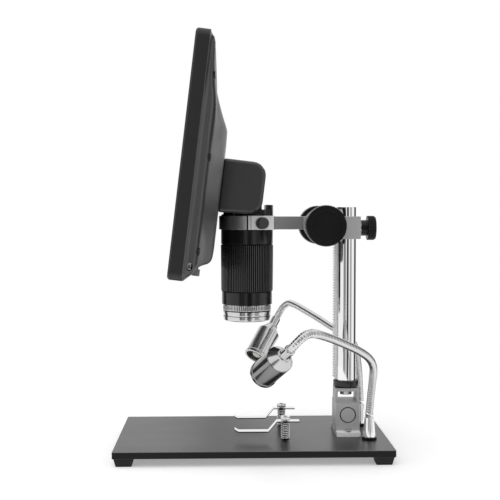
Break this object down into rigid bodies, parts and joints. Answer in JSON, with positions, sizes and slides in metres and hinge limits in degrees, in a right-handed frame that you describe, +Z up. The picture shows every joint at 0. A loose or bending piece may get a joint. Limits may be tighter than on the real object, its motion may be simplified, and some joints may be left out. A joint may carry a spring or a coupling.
{
  "type": "lcd digital microscope",
  "caption": "Bench microscope with a tilting display over its barrel, rack focusing on a chrome column, a flat stage with spring clips and gooseneck lamps.",
  "frame": {"origin": "centre of the base plate's outline, at the height where its feet stand", "axes": "+Z up, +X from the display toward the column, +Y from the near long edge of the base toward the far one"},
  "size_m": [0.201, 0.25, 0.2958],
  "materials": {
    "stage_paint": "matt dark grey powder coat",
    "foot_rubber": "matt",
    "zinc_steel": "zinc plated",
    "black_steel": "blackened steel",
    "grey_casting": "blasted grey",
    "bright_aluminium": "satin",
    "chrome": "polished",
    "black_plastic": "fine grain",
    "barrel_black": "black anodised",
    "housing_black": "fine grain",
    "brass_gear": "machined",
    "lamp_steel": "brushed",
    "lens_glass": "coated",
    "screen_glass": "gloss",
    "panel_grey": "panel frame",
    "board_green": "circuit board",
    "led_plastic": "lit lens"
  },
  "bodies": {
    "base": {"base_plate": "stage_paint", "rubber_feet": "foot_rubber", "foot_screws": "zinc_steel", "column_bracket": "grey_casting", "bracket_screws": "zinc_steel", "column_bolt": "zinc_steel", "column_tube": "chrome", "column_cap": "black_plastic", "column_collar": "black_plastic", "gear_rack": "zinc_steel", "socket_rings": "black_plastic", "clip_posts": "chrome", "clip_springs": "chrome", "clip_nuts": "chrome"},
    "near_clip": {"near_clip": "chrome"},
    "far_clip": {"far_clip": "chrome"},
    "near_socket": {"near_lamp_socket": "chrome"},
    "near_lamp": {"near_gooseneck": "chrome", "near_lamp_shell": "lamp_steel", "near_lamp_led": "led_plastic"},
    "far_socket": {"far_lamp_socket": "chrome"},
    "far_lamp": {"far_gooseneck": "chrome", "far_lamp_shell": "lamp_steel", "far_lamp_led": "led_plastic"},
    "carriage": {"focus_carriage": "grey_casting", "holder_arm": "bright_aluminium", "arm_screws": "black_steel", "shaft_bushes": "zinc_steel", "lock_bush": "zinc_steel", "barrel_tube": "barrel_black", "lens_collar": "barrel_black", "light_hood": "chrome", "lens_cell": "barrel_black", "objective_lens": "lens_glass", "led_ring": "led_plastic", "sensor_board": "board_green", "hinge_yoke": "barrel_black"},
    "column_lock": {"lock_knob": "black_plastic", "lock_stud": "zinc_steel"},
    "pinion_shaft": {"focus_shaft": "zinc_steel", "pinion": "brass_gear", "focus_knobs": "black_plastic"},
    "barrel_screw": {"barrel_screw": "black_plastic"},
    "focus_ring": {"focus_ring": "black_plastic"},
    "display": {"hinge_pin": "zinc_steel", "neck_housing": "housing_black", "neck_screws": "zinc_steel", "rear_cover": "housing_black", "cover_screws": "black_steel", "front_bezel": "housing_black", "display_glass": "screen_glass", "lcd_panel": "panel_grey", "main_board": "board_green", "port_sockets": "zinc_steel"},
    "dimmer": {"dimmer_knob": "black_plastic"},
    "power_button": {"power_button": "black_plastic"},
    "menu_button": {"menu_button": "black_plastic"},
    "down_button": {"down_button": "black_plastic"},
    "up_button": {"up_button": "black_plastic"},
    "capture_button": {"capture_button": "black_plastic"}
  },
  "joints": [
    {"name": "focus_travel", "type": "slide", "parent": "base", "child": "carriage", "axis": [0, 0, 1], "range_m": [-0.065, 0.005]},
    {"name": "display_tilt", "type": "hinge", "parent": "carriage", "child": "display", "pos_m": [-0.00275, 0, 0.1883], "axis": [0, 1, 0], "range_deg": [-3, 35]},
    {"name": "near_lamp_turn", "type": "hinge", "parent": "base", "child": "near_socket", "pos_m": [0.0865, -0.024, 0.0273], "axis": [0, 0, -1], "range_deg": [-15, 10]},
    {"name": "near_lamp_bend", "type": "hinge", "parent": "near_socket", "child": "near_lamp", "pos_m": [0.0865, -0.024, 0.0306], "axis": [-0.778, 0.6283, 0], "range_deg": [-8, 8]},
    {"name": "far_lamp_turn", "type": "hinge", "parent": "base", "child": "far_socket", "pos_m": [0.0865, 0.024, 0.0273], "axis": [0, 0, 1], "range_deg": [-15, 10]},
    {"name": "far_lamp_bend", "type": "hinge", "parent": "far_socket", "child": "far_lamp", "pos_m": [0.0865, 0.024, 0.0306], "axis": [0.751, 0.6603, 0], "range_deg": [-8, 8]},
    {"name": "focus_spin", "type": "hinge", "parent": "carriage", "child": "pinion_shaft", "pos_m": [0.0528, 0, 0.1695], "axis": [0, 1, 0], "range_deg": [-385, 32]},
    {"name": "focus_ring_turn", "type": "hinge", "parent": "carriage", "child": "focus_ring", "pos_m": [-0.0038, 0, 0.1374], "axis": [0, 0, 1], "range_deg": [-60, 60]},
    {"name": "column_lock_turn", "type": "hinge", "parent": "carriage", "child": "column_lock", "pos_m": [0.088, 0, 0.1675], "axis": [1, 0, 0], "range_deg": [0, 270]},
    {"name": "barrel_screw_turn", "type": "hinge", "parent": "carriage", "child": "barrel_screw", "pos_m": [0.00578, -0.02631, 0.1714], "axis": [0.342, -0.9397, 0], "range_deg": [0, 270]},
    {"name": "near_clip_turn", "type": "hinge", "parent": "base", "child": "near_clip", "pos_m": [0.024, -0.024, 0.0248], "axis": [0, 0, 1], "range_deg": [-25, 60]},
    {"name": "far_clip_turn", "type": "hinge", "parent": "base", "child": "far_clip", "pos_m": [0.024, 0.024, 0.0248], "axis": [0, 0, -1], "range_deg": [-25, 60]},
    {"name": "dimmer_turn", "type": "hinge", "parent": "display", "child": "dimmer", "pos_m": [-0.0402, -0.1, 0.13982], "axis": [-0.1193, 0, -0.9929], "range_deg": [0, 270]},
    {"name": "power_button_press", "type": "slide", "parent": "display", "child": "power_button", "axis": [0.9929, 0, -0.1193], "range_m": [0, 0.0006], "stiffness_N_per_m": 500, "springref_m": -0.0004},
    {"name": "menu_button_press", "type": "slide", "parent": "display", "child": "menu_button", "axis": [0.9929, 0, -0.1193], "range_m": [0, 0.0006], "stiffness_N_per_m": 500, "springref_m": -0.0004},
    {"name": "down_button_press", "type": "slide", "parent": "display", "child": "down_button", "axis": [0.9929, 0, -0.1193], "range_m": [0, 0.0006], "stiffness_N_per_m": 500, "springref_m": -0.0004},
    {"name": "up_button_press", "type": "slide", "parent": "display", "child": "up_button", "axis": [0.9929, 0, -0.1193], "range_m": [0, 0.0006], "stiffness_N_per_m": 500, "springref_m": -0.0004},
    {"name": "capture_button_press", "type": "slide", "parent": "display", "child": "capture_button", "axis": [0.9929, 0, -0.1193], "range_m": [0, 0.0006], "stiffness_N_per_m": 500, "springref_m": -0.0004}
  ],
  "couplings": [
    {"joint": "focus_spin", "follows": "focus_travel", "rad_per_m": 102.56}
  ]
}
